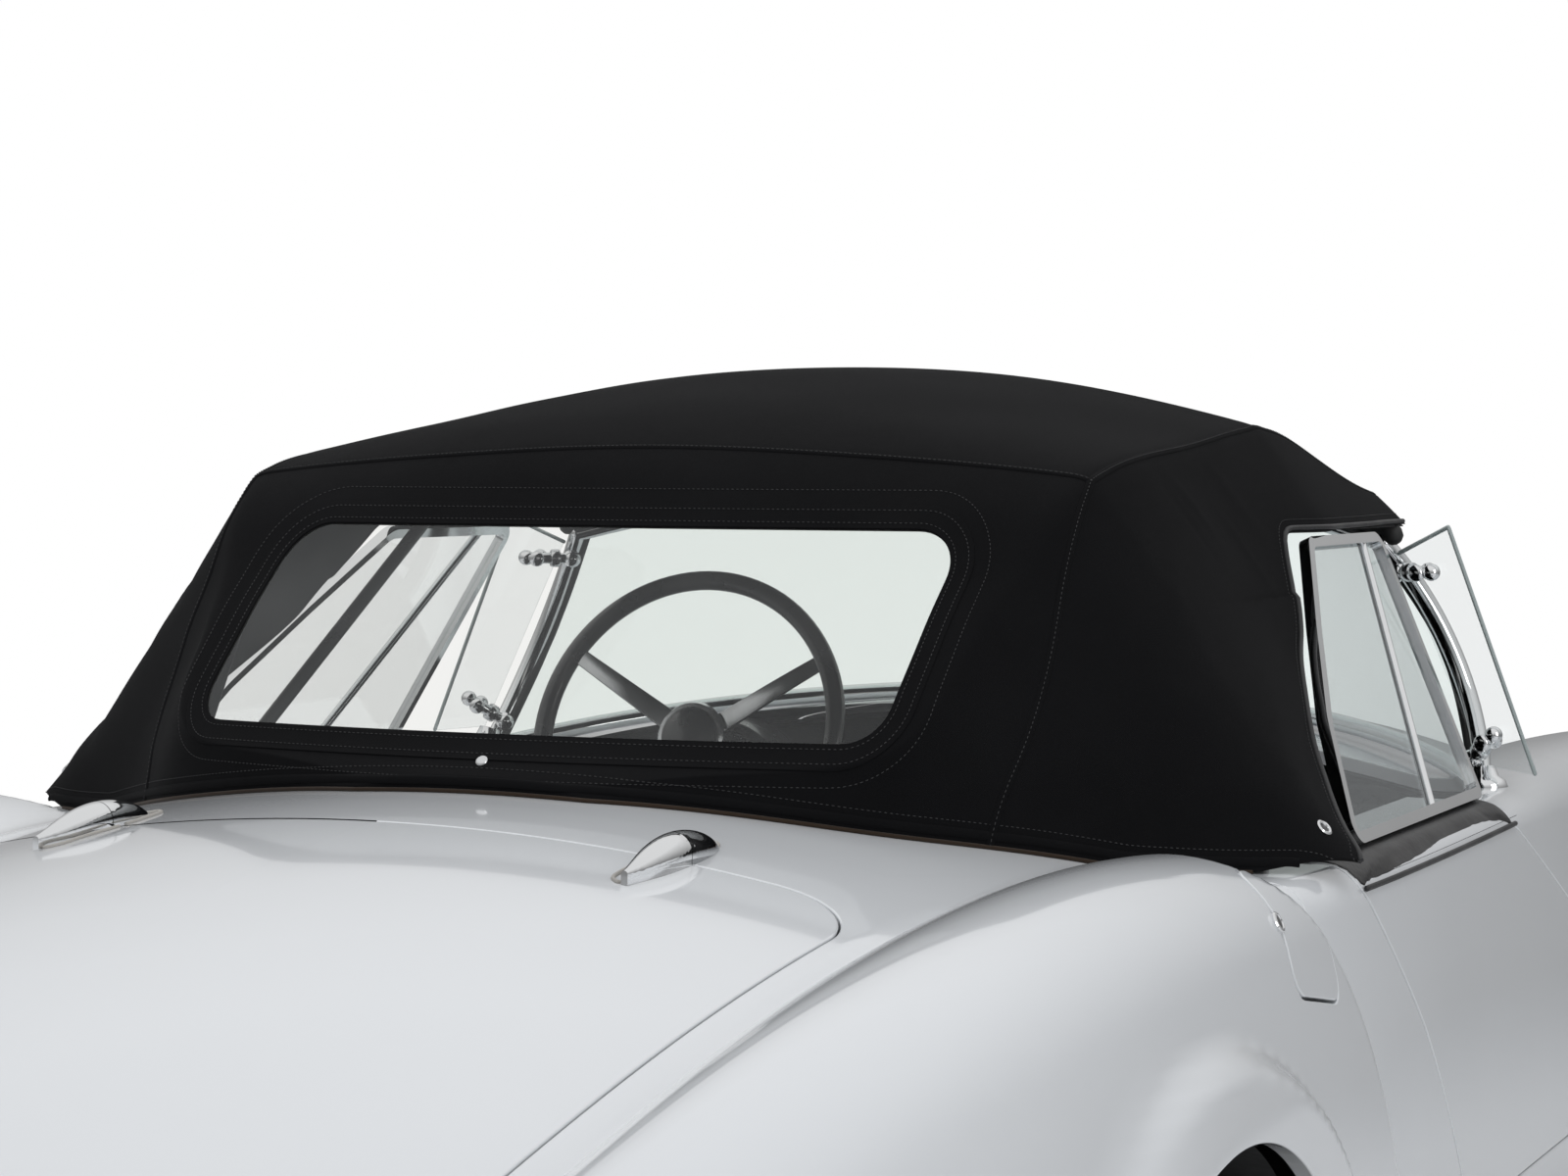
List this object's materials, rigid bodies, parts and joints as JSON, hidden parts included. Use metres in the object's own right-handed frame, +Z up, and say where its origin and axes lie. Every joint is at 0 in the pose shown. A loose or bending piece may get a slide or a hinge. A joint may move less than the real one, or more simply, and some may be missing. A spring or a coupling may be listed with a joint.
{
  "type": "roadster convertible",
  "caption": "Two-seat roadster with its soft top up: pontoon haunches, panoramic windscreen with wind wings, side screens, hinged doors, bonnet, boot lid and fuel flap, steering wheels.",
  "frame": {"origin": "on the ground below the middle of the car", "axes": "+X right, +Y forward, +Z up"},
  "size_m": [1.5564, 4.1998, 1.3378],
  "materials": {
    "paint": "gloss white paint with a clear coat",
    "sill_paint": "gloss white paint",
    "trim_leather": "black, satin, padded",
    "canvas": "black woven canvas, matt",
    "chrome": "polished",
    "screen_glass": "clear curved glass",
    "clear_pane": "clear flexible plastic sheet, slightly hazy",
    "carpet": "dark pile",
    "chassis_black": "satin black",
    "rim_plastic": "black rim with bright alloy spokes",
    "wheel_paint": "silver-grey disc with a chrome hub cap",
    "tyre": "black, matt",
    "seat_leather": "black, satin, padded",
    "engine_iron": "rough",
    "case_alloy": "cast",
    "pipe_steel": "dull",
    "lamp_red": "clear red"
  },
  "bodies": {
    "car": {"body_front": "paint", "body_rear": "paint", "firewall": "chassis_black", "rear_bulkhead": "carpet", "floor_pan": "sill_paint", "cockpit_rim": "trim_leather", "windscreen_frame": "chrome", "windscreen_glass": "screen_glass", "wind_wings": "clear_pane", "soft_top": "canvas", "rear_window": "clear_pane", "top_bows": "chassis_black", "dashboard": "trim_leather", "steering_column": "chassis_black", "gear_lever": "chrome", "seat_cushions": "seat_leather", "seat_backs": "seat_leather", "engine_block": "engine_iron", "front_suspension": "chassis_black", "rear_axle": "chassis_black", "transaxle": "case_alloy", "exhaust": "pipe_steel", "front_lamps": "chrome", "tail_lamps": "lamp_red", "grille": "chrome", "front_bumpers": "chrome", "rear_bumpers": "chrome", "boot_hinge_bases": "chrome", "bonnet_hinges": "chassis_black"},
    "wheel_fr": {"wheel_front_right": "wheel_paint", "tyre_front_right": "tyre"},
    "wheel_fl": {"wheel_front_left": "wheel_paint", "tyre_front_left": "tyre"},
    "wheel_rr": {"wheel_rear_right": "wheel_paint", "tyre_rear_right": "tyre"},
    "wheel_rl": {"wheel_rear_left": "wheel_paint", "tyre_rear_left": "tyre"},
    "knuckle_r": {"knuckle_right": "chassis_black"},
    "knuckle_l": {"knuckle_left": "chassis_black"},
    "door_r": {"door_right": "paint", "door_roll_right": "trim_leather", "side_screen_frame_right": "chrome", "side_screen_panes_right": "clear_pane"},
    "door_l": {"door_left": "paint", "door_roll_left": "trim_leather", "side_screen_frame_left": "chrome", "side_screen_panes_left": "clear_pane"},
    "bonnet_lid": {"bonnet": "paint"},
    "boot": {"boot_lid": "paint", "boot_hinge_arms": "chrome"},
    "flap": {"fuel_flap": "paint"},
    "hand_wheel": {"steering_wheel": "rim_plastic"}
  },
  "joints": [
    {"name": "steer_left", "type": "hinge", "parent": "car", "child": "knuckle_l", "pos_m": [-0.52, 1.34, 0.329], "axis": [0, 0, 1], "range_deg": [-30, 30]},
    {"name": "steer_right", "type": "hinge", "parent": "car", "child": "knuckle_r", "pos_m": [0.52, 1.34, 0.329], "axis": [0, 0, 1], "range_deg": [-30, 30]},
    {"name": "steering_wheel_turn", "type": "hinge", "parent": "car", "child": "hand_wheel", "pos_m": [-0.32, 0.165, 0.895], "axis": [0, -0.9397, 0.342], "range_deg": [-450, 450]},
    {"name": "roll_front_left", "type": "hinge", "parent": "knuckle_l", "child": "wheel_fl", "pos_m": [-0.64, 1.34, 0.329], "axis": [1, 0, 0], "continuous": true},
    {"name": "roll_front_right", "type": "hinge", "parent": "knuckle_r", "child": "wheel_fr", "pos_m": [0.64, 1.34, 0.329], "axis": [1, 0, 0], "continuous": true},
    {"name": "roll_rear_left", "type": "hinge", "parent": "car", "child": "wheel_rl", "pos_m": [-0.65, -1.11, 0.329], "axis": [1, 0, 0], "continuous": true},
    {"name": "roll_rear_right", "type": "hinge", "parent": "car", "child": "wheel_rr", "pos_m": [0.65, -1.11, 0.329], "axis": [1, 0, 0], "continuous": true},
    {"name": "door_right_swing", "type": "hinge", "parent": "car", "child": "door_r", "pos_m": [0.7575, 0.4, 0.58], "axis": [0, 0, 1], "range_deg": [0, 65]},
    {"name": "door_left_swing", "type": "hinge", "parent": "car", "child": "door_l", "pos_m": [-0.7575, 0.4, 0.58], "axis": [0, 0, -1], "range_deg": [0, 65]},
    {"name": "bonnet_lift", "type": "hinge", "parent": "car", "child": "bonnet_lid", "pos_m": [0, 0.763, 0.892], "axis": [1, 0, 0], "range_deg": [0, 50]},
    {"name": "boot_lift", "type": "hinge", "parent": "car", "child": "boot", "pos_m": [0, -1.11, 0.931], "axis": [-1, 0, 0], "range_deg": [0, 60]},
    {"name": "flap_swing", "type": "hinge", "parent": "car", "child": "flap", "pos_m": [0.73022, -0.70015, 0.82445], "axis": [-0.6626, 0.1392, 0.7359], "range_deg": [0, 75]}
  ],
  "couplings": [
    {"joint": "steer_right", "follows": "steer_left", "ratio": 1},
    {"joint": "steering_wheel_turn", "follows": "steer_left", "ratio": 15}
  ]
}
